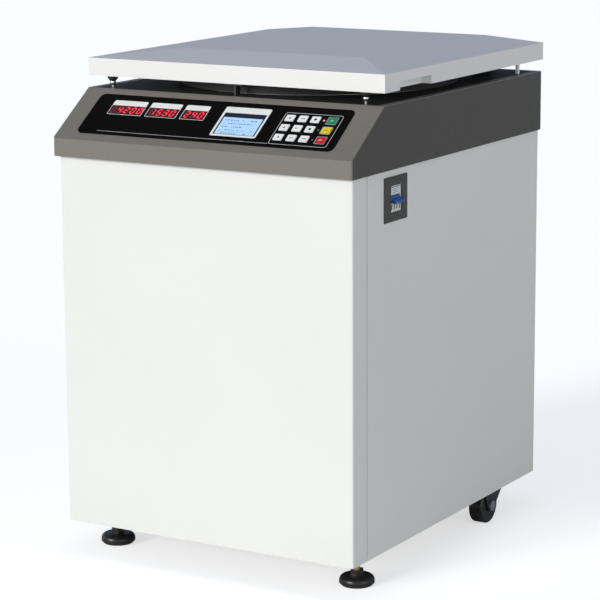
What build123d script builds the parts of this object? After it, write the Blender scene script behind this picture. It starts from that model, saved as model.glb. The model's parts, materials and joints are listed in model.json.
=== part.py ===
from build123d import *
import math
import os

os.makedirs("parts", exist_ok=True)

# Floor-standing refrigerated centrifuge. Millimetres, +Z up, the front faces -Y.
# The origin is on the floor, under the middle of the whole machine.

# Cabinet
cabinet_width = 550.0
cabinet_depth = 662.0
cabinet_height = 621.0
floor_gap = 55.0
sheet = 1.5
panel_fold = 12.0
panel_gap = 2.0
front_return = 44.5
panel_edge_radius = 3.0
panel_top_gap = 1.5

# Console on top of the cabinet
console_height = 102.4
console_front_height = 29.7
bevel_depth = 103.4
console_side_overhang = 5.6
console_front_overhang = 10.7
console_rear_overhang = 2.2
console_wall = 2.0
console_foot = 22.0
console_edge_radius = 4.0

# Lid
lid_gap = 20.0
lid_skirt = 29.3
lid_rise = 10.4
lid_rear_overhang = 5.9
lid_wall = 1.5
lid_side_inset = 106.0
lid_front_inset = 124.0
lid_rear_inset = 18.0
lid_flange = 22.0
lid_rear_flange = 48.0
liner_wall = 1.2
plug_depth = 10.0
plug_clearance = 9.0
liner_gap = 1.0
foam_gap = 0.5
foam_inset = 21.5
notch_start = 49.0
notch_length = 106.0
notch_height = 14.0
notch_depth = 18.0

# Chamber
chamber_side_margin = 61.0
chamber_end_margin = 70.65
chamber_design_radius = 214.0
chamber_forward = 6.35
chamber_depth = 259.0
chamber_wall = 1.2
chamber_corner = 25.0
rim_width = 17.0
console_hole_clearance = 2.0
seal_width = 12.0
seal_clearance = 0.3
seal_setback = 6.0
seal_round = 3.0
coil_tube = 5.0
coil_gap = 0.3
coil_turns = 8
coil_pitch = 20.0
insulation_thickness = 21.0
insulation_floor = 25.0
guard_wall = 6.0
guard_height = 150.0
nose_margin = 4.0

# Drive and rotor
deck_thickness = 5.0
motor_radius = 75.0
motor_length = 200.0
motor_flange_radius = 95.0
motor_flange = 12.0
motor_base = 20.0
mount_setback = 1.0
mount_height = 22.0
mount_radius = 14.0
nose_radius = 29.5
nose_height = 14.0
nose_clearance = 0.5
shaft_radius = 11.0
shaft_clearance = 0.05
pivot_radius = 112.0
pivot_height = 128.0
arm_height = 38.0
rotor_radius = 132.0
hub_radius = 30.0
hub_drop = 46.0
nut_radius = 17.0
nut_height = 22.0
thread_radius = 8.0
thread_end = 3.0
hub_rise = 8.0
nut_chamfer = 1.5

# Buckets
bucket_radius = 42.0
bucket_wall = 3.0
bucket_above = 20.0
bucket_below = 84.0
bucket_corner = 10.0
bucket_side_gap = 2.5
bucket_swing_gap = 2.0
trunnion_radius = 5.0
trunnion_reach = 9.0
trunnion_clearance = 0.06

# Lid hinge, lock and bumpers
hinge_span = 340.0
hinge_rise = 10.0
hinge_inset = 14.9
hinge_pin_radius = 3.0
hinge_pin_clearance = 0.05
knuckle_radius = 6.5
knuckle_length = 26.0
ear_thickness = 8.0
ear_gap = 0.3
hinge_leaf = 3.0
hinge_foot = 2.5
hinge_bracket_depth = 30.0
hinge_bracket_back = 6.0
leaf_margin = 8.0
leaf_inset = 2.0
striker_offset = 17.0
striker_thickness = 3.0
striker_width = 14.0
striker_reach = 46.0
striker_foot_half = 16.0
striker_foot_thickness = 2.5
striker_foot_setback = 3.0
striker_hole_clearance = 1.5
striker_slot_clearance = 4.0
lock_bolt_radius = 4.0
lock_travel = 8.0
lock_bolt_length = 40.0
lock_bolt_clearance = 0.05
lock_body_length = 46.0
lock_body_drop = 11.0
lock_body_margin = 3.0
lock_bolt_drop = 14.0
lock_bolt_rest_gap = 2.5
lock_bore_relief = 2.0
bumper_inset = 40.6
bumper_setback = 12.3
bumper_cap_radius = 9.0
bumper_tip_radius = 4.5
bumper_cone = 6.0
bumper_pad = 3.0
bumper_stem_radius = 2.5
bumper_ball_radius = 5.0
bumper_ball_rise = 9.0
rest_inset = 13.6
rest_forward = 74.0
rest_width = 8.0
rest_thickness = 4.0
rest_clearance = 0.3

# Control face on the bevel, measured up the slope
face_left = -244.0
face_right = 237.0
face_low = 16.6
face_high = 112.0
face_thickness = 1.2
face_corner = 10.0
face_ledge = 8.0
board_drop = 15.0
board_thickness = 1.6
module_clearance = 0.4
led_low = 66.5
led_high = 86.5
led_spans = [(-207.0, -141.0), (-132.5, -79.0), (-63.5, -20.5)]
lcd_left = 9.0
lcd_right = 87.0
lcd_low = 37.0
lcd_high = 86.0
key_width = 15.7
key_height = 14.0
key_columns = [130.7, 154.0, 177.0, 206.5]
key_rows = [84.0, 61.7, 39.3]
key_cap = 1.0
key_flange = 1.0
key_ledge = 1.5
key_clearance = 0.35
key_seat = 0.1
key_travel = 0.5
key_stem = 6.0
switch_height = 4.0
switch_margin = 1.0
standoff_radius = 3.0
lamp_column = 192.0
lamp_radius = 1.5

# Circuit breaker in the right side panel
plate_width = 74.0
plate_height = 72.0
plate_thickness = 3.0
plate_setback = 136.0
plate_drop = 48.0
window_width = 36.0
window_height = 43.0
breaker_width = 40.0
breaker_height = 72.0
breaker_depth = 60.0
breaker_stand = 1.0
toggle_width = 30.0
toggle_hub = 6.0
toggle_reach = 16.0
toggle_thickness = 5.0
toggle_tilt = 18.0
toggle_pin_radius = 1.5
toggle_levers = 3
lever_gap = 1.6
knob_radius = 3.2
tie_radius = 2.0
breaker_shoulder = 8.0
breaker_tab = 12.0
cutout_lip = 6.0
toggle_clearance = 0.4

# Frame, feet and casters
base_lift = 15.0
base_thickness = 4.0
base_clearance = 0.5
post_size = 25.0
post_wall = 2.0
rail_size = 10.0
foot_inset = 40.6
foot_setback = 84.1
foot_radius = 29.0
foot_height = 17.0
foot_stem_radius = 5.0
foot_stem_clearance = 0.06
foot_nut_radius = 12.0
foot_nut_height = 9.0
foot_travel = 12.0
foot_boss = 12.0
foot_boss_radius = 11.0
foot_dome = 9.3
foot_chamfer = 4.0
wheel_radius = 31.5
wheel_width = 26.0
wheel_inset = 19.0
wheel_rear_setback = 165.0
axle_radius = 5.0
axle_clearance = 0.06
fork_wall = 2.5
fork_gap = 0.8
fork_plate = 3.0
fork_end = 4.0
leg_top_front = 26.0
leg_top_rear = 54.0
leg_low_half = 9.0
axle_nut = 3.5
axle_nut_radius = 9.0
tread_round = 4.0

# Refrigeration and electrics
compressor_radius = 75.0
compressor_height = 205.0
compressor_side = 113.5
compressor_setback = 125.0
compressor_foot = (140.0, 100.0, 15.0)
compressor_dome = 30.0
condenser_width = 300.0
condenser_height = 260.0
condenser_depth = 40.0
condenser_side = 33.5
condenser_gap = 7.0
condenser_lift = 6.0
fan_radius = 105.0
fan_hub_radius = 24.0
fan_blades = 6
fan_tip_gap = 3.0
fan_pin_radius = 4.0
fan_motor_radius = 32.0
fan_motor_length = 40.0
blade_pitch = 35.0
blade_thickness = 2.5
blade_root = 6.0
blade_margin = 5.0
spider_depth = 4.0
spider_width = 16.0
shroud_depth = 36.0
fan_depth = 22.0
tube_radius = 5.0
suction_side = 30.0
suction_margin = 9.0
vent_rows = 14
vent_columns = 2
vent_slot = (90.0, 6.0)
vent_pitch = (104.0, 14.0)
inlet_size = (50.0, 34.0)
inlet_depth = 24.0
inlet_side = 93.5
inlet_lift = 300.0
inlet_flange = (8.0, 4.0, 3.0)
inlet_wall = 4.0
inlet_pin_step = 11.0
inlet_pin = (2.0, 8.0)
inlet_pin_offset = 3.0
inverter_size = (180.0, 120.0, 260.0)
inverter_setback = 40.0
inverter_clearance = 12.0
screw_radius = 2.0
screw_head_radius = 4.5
screw_head_height = 1.8
screw_clearance = 0.05
screw_margin = 20.0

# Places worked out from the sizes above
overall_depth = cabinet_depth + console_front_overhang + lid_rear_overhang
half_width = cabinet_width / 2
inner_half = half_width - sheet
front_y = -overall_depth / 2 + console_front_overhang
back_y = front_y + cabinet_depth
top_z = floor_gap + cabinet_height
panel_top = top_z - panel_top_gap
console_half = half_width + console_side_overhang
console_front = front_y - console_front_overhang
console_back = back_y + console_rear_overhang
console_top = top_z + console_height
bevel_angle = math.atan2(console_height - console_front_height, bevel_depth)
bevel_top_y = console_front + bevel_depth
lid_front = bevel_top_y
lid_back = back_y + lid_rear_overhang
lid_bottom = console_top + lid_gap
lid_shoulder = lid_bottom + lid_skirt
chamber_y = (lid_front + back_y) / 2 - chamber_forward
chamber_radius = min(half_width - chamber_side_margin,
                     (back_y - lid_front) / 2 - chamber_end_margin)
rotor_scale = chamber_radius / chamber_design_radius
swing_radius = pivot_radius * rotor_scale
cup_radius = bucket_radius * rotor_scale
cup_below = bucket_below * rotor_scale
head_radius = rotor_radius * rotor_scale
bowl_outer = chamber_radius + chamber_wall
bowl_rim_top = console_top + chamber_wall
bowl_floor = bowl_rim_top - chamber_depth
console_hole = bowl_outer + console_hole_clearance
seal_inner = bowl_outer + rim_width - seal_setback
liner_bottom = lid_bottom + lid_wall
jacket_inner = bowl_outer + 2 * coil_tube + 2 * coil_gap
jacket_outer = jacket_inner + insulation_thickness
jacket_bottom = bowl_floor - insulation_floor
deck_top = jacket_bottom
deck_bottom = deck_top - deck_thickness
motor_top = deck_bottom - mount_height
nose_top = bowl_floor + nose_height
pivot_z = bowl_floor + pivot_height
slot_half = cup_radius + bucket_side_gap
slot_inner = swing_radius - math.hypot(cup_radius, bucket_above) - bucket_swing_gap
hub_top = pivot_z + bucket_above + hub_rise
foot_spread = half_width - foot_inset
wheel_spread = half_width - wheel_inset
bumper_spread = console_half - bumper_inset
rest_spread = console_half - rest_inset
hinge_y = lid_back - hinge_inset
hinge_z = console_top + hinge_rise
striker_y = lid_front + striker_offset
bolt_z = console_top - lock_bolt_drop
base_bottom = floor_gap + base_lift
base_top = base_bottom + base_thickness
wheel_y = back_y - wheel_rear_setback
foot_y = front_y + foot_setback
plate_y = front_y + plate_setback
plate_z = top_z - plate_drop
breaker_face = half_width + breaker_stand
toggle_x = breaker_face - toggle_hub
condenser_x = inner_half - condenser_side - condenser_width / 2
condenser_front = back_y - sheet - condenser_gap - condenser_depth
condenser_z = base_top + condenser_lift
fan_z = condenser_z + condenser_height / 2
shroud_front = condenser_front - shroud_depth
fan_front = shroud_front + (shroud_depth - fan_depth) / 2
compressor_x = compressor_side - inner_half
compressor_y = back_y - compressor_setback
inlet_x = inlet_side - inner_half
suction_x = compressor_x - suction_side
suction_y = back_y - sheet - post_size - suction_margin
inlet_z = base_top + inlet_lift
motor_low = motor_top - motor_flange - motor_length

bevel = Plane(
    origin=(0, console_front, top_z + console_front_height),
    x_dir=(1, 0, 0),
    z_dir=(0, -math.sin(bevel_angle), math.cos(bevel_angle)),
)


def block(x0, x1, y0, y1, z0, z1):
    """A box between two corners."""
    middle = ((x0 + x1) / 2, (y0 + y1) / 2, (z0 + z1) / 2)
    return Pos(*middle) * Box(abs(x1 - x0), abs(y1 - y0), abs(z1 - z0))


def post(x, y, z0, z1, radius):
    """An upright cylinder."""
    return Pos(x, y, (z0 + z1) / 2) * Cylinder(radius, z1 - z0)


def rod_x(x0, x1, y, z, radius):
    """A cylinder along X."""
    return Pos((x0 + x1) / 2, y, z) * Rot(0, 90, 0) * Cylinder(radius, x1 - x0)


def rod_y(x, y0, y1, z, radius):
    """A cylinder along Y."""
    return Pos(x, (y0 + y1) / 2, z) * Rot(90, 0, 0) * Cylinder(radius, y1 - y0)


def on_bevel(x0, x1, t0, t1, d0, d1):
    """A box on the control slope: X, distance up the slope, height above its face."""
    middle = ((x0 + x1) / 2, (t0 + t1) / 2, (d0 + d1) / 2)
    return bevel.location * Pos(*middle) * Box(abs(x1 - x0), abs(t1 - t0), abs(d1 - d0))


def write(node, *solids):
    """One STEP file for a node, of one solid or a group of separate ones."""
    shape = solids[0] if len(solids) == 1 else Compound(children=list(solids))
    export_step(shape, f"parts/{node}.step")


def one(shape):
    """The single solid that an operation leaves."""
    return shape.solids()[0] if len(shape.solids()) == 1 else shape


# Sheet panels

def front_panel():
    """Front face with both edges folded back, and a fold inwards at each seam."""
    seam_y = front_y + front_return
    shell = block(-half_width, half_width, front_y, seam_y, floor_gap, panel_top)
    edges = shell.edges().filter_by(Axis.Z).group_by(Axis.Y)[0]
    shell = fillet(edges, panel_edge_radius)
    inside = block(-inner_half, inner_half, front_y + sheet, seam_y - sheet, floor_gap, panel_top)
    mouth_half = inner_half - panel_fold
    mouth = block(-mouth_half, mouth_half, front_y + sheet, seam_y, floor_gap, panel_top)
    return shell - inside - mouth


def side_panel(side):
    """Flat side with a fold inwards along its front edge."""
    seam_y = front_y + front_return + panel_gap
    wall = block(side * inner_half, side * half_width, seam_y, back_y, floor_gap, panel_top)
    fold_x = side * (inner_half - panel_fold)
    fold = block(fold_x, side * half_width, seam_y, seam_y + sheet, floor_gap, panel_top)
    panel = wall + fold
    if side > 0:
        hole_half = plate_width / 2 - cutout_lip
        hole_rise = plate_height / 2 - cutout_lip
        panel -= block(inner_half - 1, half_width + 1, plate_y - hole_half, plate_y + hole_half,
                       plate_z - hole_rise, plate_z + hole_rise)
    return one(panel)


def screw_places():
    """Screws down both edges of the rear panel."""
    rise = (panel_top - base_top - 2 * screw_margin) / 3
    edge = inner_half - base_clearance - post_size / 2
    return [(side * edge, base_top + screw_margin + i * rise) for side in (-1, 1) for i in range(4)]


def rear_panel():
    """Rear cover with louvre slots behind the condenser, and the inlet's cut-out."""
    edge = inner_half - base_clearance
    panel = block(-edge, edge, back_y - sheet, back_y, floor_gap, panel_top)
    for row in range(vent_rows):
        for column in range(vent_columns):
            x = condenser_x + (column - (vent_columns - 1) / 2) * vent_pitch[0]
            z = fan_z + (row - (vent_rows - 1) / 2) * vent_pitch[1]
            panel -= block(x - vent_slot[0] / 2, x + vent_slot[0] / 2, back_y - sheet - 1,
                           back_y + 1, z - vent_slot[1] / 2, z + vent_slot[1] / 2)
    wide, high = inlet_size[0] / 2, inlet_size[1] / 2
    panel -= block(inlet_x - wide, inlet_x + wide, back_y - sheet - 1, back_y + 1,
                   inlet_z - high, inlet_z + high)
    for x, z in screw_places():
        panel -= rod_y(x, back_y - sheet - 1, back_y + 1, z, screw_radius + screw_clearance)
    return panel


def panel_screws():
    """Domed screws that hold the rear panel to the rear posts."""
    made = []
    for x, z in screw_places():
        shank = rod_y(x, back_y - sheet, back_y, z, screw_radius)
        head = rod_y(x, back_y, back_y + screw_head_height, z, screw_head_radius)
        rim = head.edges().group_by(Axis.Y)[-1]
        made.append(shank + fillet(rim, screw_head_height * 0.6))
    return made


# Frame

def base_plate():
    """Bottom plate, with threaded bosses for the levelling feet."""
    edge = inner_half - base_clearance
    low_y = front_y + sheet + base_clearance
    high_y = back_y - sheet
    plate = block(-edge, edge, low_y, high_y, base_bottom, base_top)
    seam_y = front_y + front_return
    notch_x = inner_half - panel_fold - base_clearance
    for side in (-1, 1):
        x = side * foot_spread
        plate -= block(side * notch_x, side * half_width, seam_y - sheet - base_clearance,
                       seam_y + panel_gap + sheet + base_clearance, base_bottom - 1, base_top + 1)
        plate += post(x, foot_y, base_top, base_top + foot_boss, foot_boss_radius)
        plate -= post(x, foot_y, base_bottom - 1, base_top + foot_boss + 1,
                      foot_stem_radius + foot_stem_clearance)
    return plate


def frame():
    """Welded frame: corner posts, top rails and the deck that carries the chamber."""
    edge = inner_half - base_clearance
    low_y = front_y + sheet + base_clearance
    high_y = back_y - sheet
    inner = edge - post_size
    shape = None
    for side in (-1, 1):
        for y0, y1 in ((low_y, low_y + post_size), (high_y - post_size, high_y)):
            x0, x1 = sorted((side * inner, side * edge))
            tube = block(x0, x1, y0, y1, base_top, top_z)
            tube -= block(x0 + post_wall, x1 - post_wall, y0 + post_wall, y1 - post_wall,
                          base_top, top_z)
            shape = tube if shape is None else shape + tube
    rail_edge = inner_half - panel_fold - base_clearance
    for side in (-1, 1):
        x0, x1 = sorted((side * (rail_edge - rail_size), side * rail_edge))
        shape += block(x0, x1, low_y + post_size, high_y - post_size, top_z - rail_size, top_z)
        shape += block(x0, x1, low_y + post_size, high_y - post_size,
                       deck_bottom - rail_size, deck_bottom)
    deck_front = chamber_y - jacket_outer - guard_wall
    shape += block(-edge, edge, deck_front, high_y - post_size, deck_bottom, deck_top)
    shape += block(-inner, inner, high_y - post_size, high_y, deck_bottom, deck_top)
    shape += block(-inner, inner, low_y, low_y + rail_size, top_z - rail_size, top_z)
    shape += block(-inner, inner, high_y - rail_size, high_y, top_z - rail_size, top_z)
    shape -= post(0, chamber_y, deck_bottom - 1, deck_top + 1, nose_radius + nose_margin)
    shape -= post(suction_x, suction_y, deck_bottom - 1, deck_top + 1, tube_radius + nose_margin)
    return shape


# Console

def console_profile(inset):
    """Side outline of the console, moved inwards by a wall's thickness."""
    low = top_z + (console_wall if inset else 0.0)
    slide = inset * math.tan(bevel_angle / 2)
    knee = inset * math.tan((math.pi / 2 - bevel_angle) / 2)
    corner_z = top_z + console_front_height - knee
    corner_y = bevel_top_y + slide
    return [
        (console_front + inset, low),
        (console_front + inset, corner_z),
        (corner_y, console_top - inset),
        (console_back - inset, console_top - inset),
        (console_back - inset, low),
    ]


def prism_x(points, half):
    """A side outline drawn in Y and Z, as wide as twice half."""
    face = Plane.YZ * make_face(Polyline(*points, close=True))
    return Pos(-half, 0, 0) * extrude(face, 2 * half)


def top_console():
    """Folded console with the chamber hole, the control opening and the lock slot."""
    shell = prism_x(console_profile(0.0), console_half)
    uprights = shell.edges().filter_by(Axis.Z)
    shell = fillet(uprights, console_edge_radius)
    shell -= prism_x(console_profile(console_wall), console_half - console_wall)
    shell -= block(-console_half + console_foot, console_half - console_foot,
                   console_front + console_foot, console_back - console_foot,
                   top_z - 1, top_z + console_wall + 1)
    shell -= post(0, chamber_y, console_top - console_wall - 1, console_top + 1, console_hole)
    shell -= on_bevel(face_left + face_ledge, face_right - face_ledge,
                      face_low + face_ledge, face_high - face_ledge, -console_wall - 1, 1)
    shell -= block(-striker_thickness * 1.5, striker_thickness * 1.5,
                   striker_y - striker_width / 2 - striker_slot_clearance,
                   striker_y + striker_width / 2 + striker_slot_clearance,
                   console_top - console_wall - 1, console_top + 1)
    return shell


# Control face

def key_places():
    """Twelve keys: three white columns and one of coloured keys."""
    return [(x, t) for t in key_rows for x in key_columns]


def control_face():
    """Black face plate with windows for the displays, and holes for keys and lamps."""
    plate = on_bevel(face_left, face_right, face_low, face_high, 0, face_thickness)
    corners = plate.edges().filter_by(lambda e: abs(e.length - face_thickness) < 1e-6)
    plate = fillet(corners, face_corner)
    grow = module_clearance
    for x0, x1 in led_spans:
        plate -= on_bevel(x0 - grow, x1 + grow, led_low - grow, led_high + grow,
                          -1, face_thickness + 1)
    plate -= on_bevel(lcd_left - grow, lcd_right + grow, lcd_low - grow, lcd_high + grow,
                      -1, face_thickness + 1)
    for x, t in key_places():
        wide, high = key_width / 2 + key_clearance, key_height / 2 + key_clearance
        plate -= on_bevel(x - wide, x + wide, t - high, t + high, -1, face_thickness + 1)
    for t in key_rows:
        plate -= bevel.location * Pos(lamp_column, t, 0) * Cylinder(
            lamp_radius + module_clearance, 2 * face_thickness + 2)
    return plate


def led_displays():
    """Three seven-segment modules that stand on the board, flush with the face."""
    return [on_bevel(x0, x1, led_low, led_high, -board_drop, face_thickness)
            for x0, x1 in led_spans]


def lcd_screen():
    """Liquid crystal module on the board."""
    return on_bevel(lcd_left, lcd_right, lcd_low, lcd_high, -board_drop, face_thickness)


def control_board():
    """Circuit board with its standoffs, key switches and lamps."""
    low = -board_drop - board_thickness
    board = on_bevel(face_left, face_right, face_low, face_high, low, -board_drop)
    for x in (face_left + face_ledge / 2, face_right - face_ledge / 2):
        for t in (face_low + face_ledge / 2, face_high - face_ledge / 2):
            board += bevel.location * Pos(x, t, -(board_drop + console_wall) / 2) * Cylinder(
                standoff_radius, board_drop - console_wall)
    switch_top = switch_height - board_drop
    for x, t in key_places():
        half = key_stem / 2 + switch_margin
        board += on_bevel(x - half, x + half, t - half, t + half, -board_drop, switch_top)
    for t in key_rows:
        middle = (face_thickness - board_drop) / 2
        board += bevel.location * Pos(lamp_column, t, middle) * Cylinder(
            lamp_radius, board_drop + face_thickness)
    return board


def key_stem_length():
    """The stem runs from the key's flange most of the way to its switch."""
    return board_drop - key_flange - key_travel - 2 * key_seat - switch_height


def key(x, t):
    """Key cap with a flange under the face plate, and a stem down to its switch."""
    wide, high = key_width / 2, key_height / 2
    cap = on_bevel(x - wide, x + wide, t - high, t + high, -key_seat, face_thickness + key_cap)
    sides = cap.edges().filter_by(
        lambda e: abs(e.length - face_thickness - key_cap - key_seat) < 1e-6)
    cap = fillet(sides, key_ledge)
    flange = on_bevel(x - wide - key_ledge, x + wide + key_ledge, t - high - key_ledge,
                      t + high + key_ledge, -key_seat - key_flange, -key_seat)
    half = key_stem / 2
    low = -key_seat - key_flange - key_stem_length()
    stem = on_bevel(x - half, x + half, t - half, t + half, low, -key_seat - key_flange)
    return cap + flange + stem


# Circuit breaker

def breaker_escutcheon():
    """Dark frame over the panel's cut-out, with a window for the breaker."""
    plate = block(half_width, half_width + plate_thickness, plate_y - plate_width / 2,
                  plate_y + plate_width / 2, plate_z - plate_height / 2, plate_z + plate_height / 2)
    plate = chamfer(plate.faces().sort_by(Axis.X)[-1].edges(), plate_thickness * 0.4)
    return plate - block(half_width - 1, half_width + plate_thickness + 1,
                         plate_y - window_width / 2, plate_y + window_width / 2,
                         plate_z - window_height / 2, plate_z + window_height / 2)


def circuit_breaker():
    """Breaker body behind the window, with a slot for the toggle's hub, on a rail bracket."""
    back_x = breaker_face - breaker_depth
    body = block(back_x, breaker_face - breaker_shoulder, plate_y - breaker_width / 2,
                 plate_y + breaker_width / 2, plate_z - breaker_height / 2,
                 plate_z + breaker_height / 2)
    nose_half = window_width / 2 - module_clearance
    nose_rise = window_height / 2 - module_clearance
    body += block(back_x, breaker_face, plate_y - nose_half, plate_y + nose_half,
                  plate_z - nose_rise, plate_z + nose_rise)
    pocket = toggle_hub + toggle_clearance
    slot_half_width = toggle_width / 2 + toggle_clearance
    body -= rod_y(toggle_x, plate_y - slot_half_width, plate_y + slot_half_width, plate_z, pocket)
    body -= block(toggle_x, breaker_face + 1, plate_y - slot_half_width,
                  plate_y + slot_half_width, plate_z - pocket, plate_z + pocket)
    tab = breaker_width / 2 + breaker_tab
    body += block(breaker_face - breaker_tab, inner_half, plate_y - tab, plate_y - breaker_width / 2,
                  plate_z + plate_height / 2 - cutout_lip, plate_z + breaker_height / 2)
    body += block(breaker_face - breaker_tab, inner_half, plate_y + breaker_width / 2, plate_y + tab,
                  plate_z + plate_height / 2 - cutout_lip, plate_z + breaker_height / 2)
    return body + rod_y(toggle_x, plate_y - slot_half_width, plate_y + slot_half_width, plate_z,
                        toggle_pin_radius)


def breaker_toggle():
    """Levers with round ends, tied by a rod, on a pin across the breaker's nose."""
    half = toggle_width / 2
    hub = rod_y(toggle_x, plate_y - half, plate_y + half, plate_z, toggle_hub)
    knob_x = toggle_x + toggle_reach - knob_radius
    lever = block(toggle_x, knob_x, plate_y - half, plate_y + half,
                  plate_z - toggle_thickness / 2, plate_z + toggle_thickness / 2)
    lever += rod_y(knob_x, plate_y - half, plate_y + half, plate_z, knob_radius)
    pitch = (toggle_width + lever_gap) / toggle_levers
    for place in range(1, toggle_levers):
        gap_y = plate_y - half - lever_gap / 2 + place * pitch
        lever -= block(toggle_x + toggle_hub, knob_x + 2 * knob_radius, gap_y - lever_gap / 2,
                       gap_y + lever_gap / 2, plate_z - 2 * knob_radius, plate_z + 2 * knob_radius)
    lever += rod_y(knob_x, plate_y - half, plate_y + half, plate_z, tie_radius)
    turned = Pos(toggle_x, 0, plate_z) * Rot(0, toggle_tilt, 0) * Pos(-toggle_x, 0, -plate_z) * lever
    bore = rod_y(toggle_x, plate_y - half - 1, plate_y + half + 1, plate_z,
                 toggle_pin_radius + axle_clearance)
    return hub + turned - bore


# Chamber

def chamber_bowl():
    """Deep-drawn bowl whose rim lies on the console."""
    outer = post(0, chamber_y, bowl_floor - chamber_wall, bowl_rim_top, bowl_outer)
    outer = fillet(outer.edges().group_by(Axis.Z)[0], chamber_corner + chamber_wall)
    inner = post(0, chamber_y, bowl_floor, bowl_rim_top + 50, chamber_radius)
    inner = fillet(inner.edges().group_by(Axis.Z)[0], chamber_corner)
    rim = post(0, chamber_y, console_top, bowl_rim_top, bowl_outer + rim_width)
    floor_hole = post(0, chamber_y, bowl_floor - 5, bowl_floor + 5, nose_radius + nose_clearance)
    return outer + rim - inner - floor_hole


def chamber_seal():
    """Hollow rubber ring on the bowl's rim, under the lid's liner."""
    low, high = bowl_rim_top, liner_bottom - seal_clearance
    ring = post(0, chamber_y, low, high, seal_inner + seal_width)
    ring = fillet(ring.edges().group_by(Axis.Z)[-1], seal_round)
    return ring - post(0, chamber_y, low - 1, high + 1, seal_inner)


def evaporator_coil():
    """Copper tube wound round the bowl."""
    middle = bowl_outer + coil_gap + coil_tube
    low = bowl_floor + chamber_corner + coil_tube
    path = Helix(pitch=coil_pitch, height=coil_pitch * coil_turns, radius=middle)
    section = Plane(origin=path @ 0, z_dir=path % 0) * Circle(coil_tube)
    return Pos(0, chamber_y, low) * sweep(section, path=path)


def insulation_jacket():
    """Foam round the coil and under the bowl."""
    top = console_top - console_wall
    jacket = post(0, chamber_y, jacket_bottom, top, jacket_outer)
    jacket -= post(0, chamber_y, bowl_floor - chamber_wall - coil_gap, top + 1, jacket_inner)
    return jacket - post(0, chamber_y, jacket_bottom - 1, bowl_floor, nose_radius + nose_margin)


def guard_ring():
    """Steel ring that stands on the deck round the foam and stops a burst rotor."""
    ring = post(0, chamber_y, deck_top, deck_top + guard_height, jacket_outer + guard_wall)
    return ring - post(0, chamber_y, deck_top - 1, deck_top + guard_height + 1, jacket_outer)


# Drive and rotor

def mount_places():
    """Four rubber mounts between the deck and the motor's flange."""
    reach = motor_flange_radius - mount_radius - mount_setback
    return [(reach * math.cos(math.radians(45 + 90 * i)),
             chamber_y + reach * math.sin(math.radians(45 + 90 * i))) for i in range(4)]


def drive_motor():
    """Motor that hangs under the deck; its nose reaches through the bowl's floor."""
    body = post(0, chamber_y, motor_low, motor_top - motor_flange, motor_radius)
    body += post(0, chamber_y, motor_top - motor_flange, motor_top, motor_flange_radius)
    body += post(0, chamber_y, motor_top, nose_top, nose_radius)
    return body - post(0, chamber_y, motor_low + motor_base, nose_top + 1,
                       shaft_radius + shaft_clearance)


def motor_mounts():
    """Rubber mounts that the motor hangs from."""
    return [post(x, y, motor_top, deck_bottom, mount_radius) for x, y in mount_places()]


def drive_shaft():
    """Motor shaft with the threaded end that the rotor nut goes on."""
    shaft = post(0, chamber_y, motor_low + motor_base, hub_top, shaft_radius)
    return shaft + post(0, chamber_y, hub_top, hub_top + nut_height + thread_end, thread_radius)


def rotor_head():
    """Cross-shaped head: four slots for the buckets, and open seats for their trunnions."""
    low = pivot_z - arm_height / 2
    high = pivot_z + arm_height / 2
    head = post(0, chamber_y, low, high, head_radius)
    for turn in range(4):
        around = Pos(0, chamber_y, 0) * Rot(0, 0, 90 * turn)
        head -= around * block(slot_inner, head_radius + 1, -slot_half, slot_half,
                               low - 1, high + 1)
        seat = trunnion_radius + trunnion_clearance
        far = slot_half + trunnion_reach - bucket_side_gap + 1.0
        head -= around * rod_y(swing_radius, -far, far, pivot_z, seat)
        head -= around * block(swing_radius - seat, swing_radius + seat, -far, far,
                               pivot_z, high + 1)
    head += post(0, chamber_y, pivot_z - hub_drop, hub_top, hub_radius)
    return head - post(0, chamber_y, pivot_z - hub_drop - 1, hub_top + 1, shaft_radius)


def rotor_nut():
    """Hexagon nut that holds the rotor on the shaft."""
    nut = extrude(Pos(0, chamber_y, hub_top) * RegularPolygon(nut_radius, 6), nut_height)
    nut = chamfer(nut.edges().group_by(Axis.Z)[-1], nut_chamfer)
    return nut - post(0, chamber_y, hub_top - 1, hub_top + nut_height + 1, thread_radius)


def bucket():
    """Swing-out bucket with a trunnion on each side, at the first place."""
    cup = post(swing_radius, 0, pivot_z - cup_below, pivot_z + bucket_above, cup_radius)
    cup = fillet(cup.edges().group_by(Axis.Z)[0], bucket_corner)
    reach = cup_radius + trunnion_reach
    cup += rod_y(swing_radius, -reach, reach, pivot_z, trunnion_radius)
    hollow = post(swing_radius, 0, pivot_z - cup_below + bucket_wall,
                  pivot_z + bucket_above + 1, cup_radius - bucket_wall)
    hollow = fillet(hollow.edges().group_by(Axis.Z)[0], bucket_corner - bucket_wall)
    return cup - hollow


# Lid

def lid_roof(shrink, low, shoulder, top):
    """Box with a low hip roof; shrink moves every side inwards."""
    x, y0, y1 = console_half - shrink, lid_front + shrink, lid_back - shrink
    box = block(-x, x, y0, y1, low, shoulder)
    lower = Plane.XY.offset(shoulder) * Pos(0, (y0 + y1) / 2) * Rectangle(2 * x, y1 - y0)
    fy0, fy1 = lid_front + lid_front_inset, lid_back - lid_rear_inset
    flat = Rectangle(2 * (console_half - lid_side_inset), fy1 - fy0)
    upper = Plane.XY.offset(top) * Pos(0, (fy0 + fy1) / 2) * flat
    return box + loft([lower.face(), upper.face()], ruled=True)


def notch_span():
    """Both ends of the finger notch along the lid's side."""
    return lid_front + notch_start, lid_front + notch_start + notch_length


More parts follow.
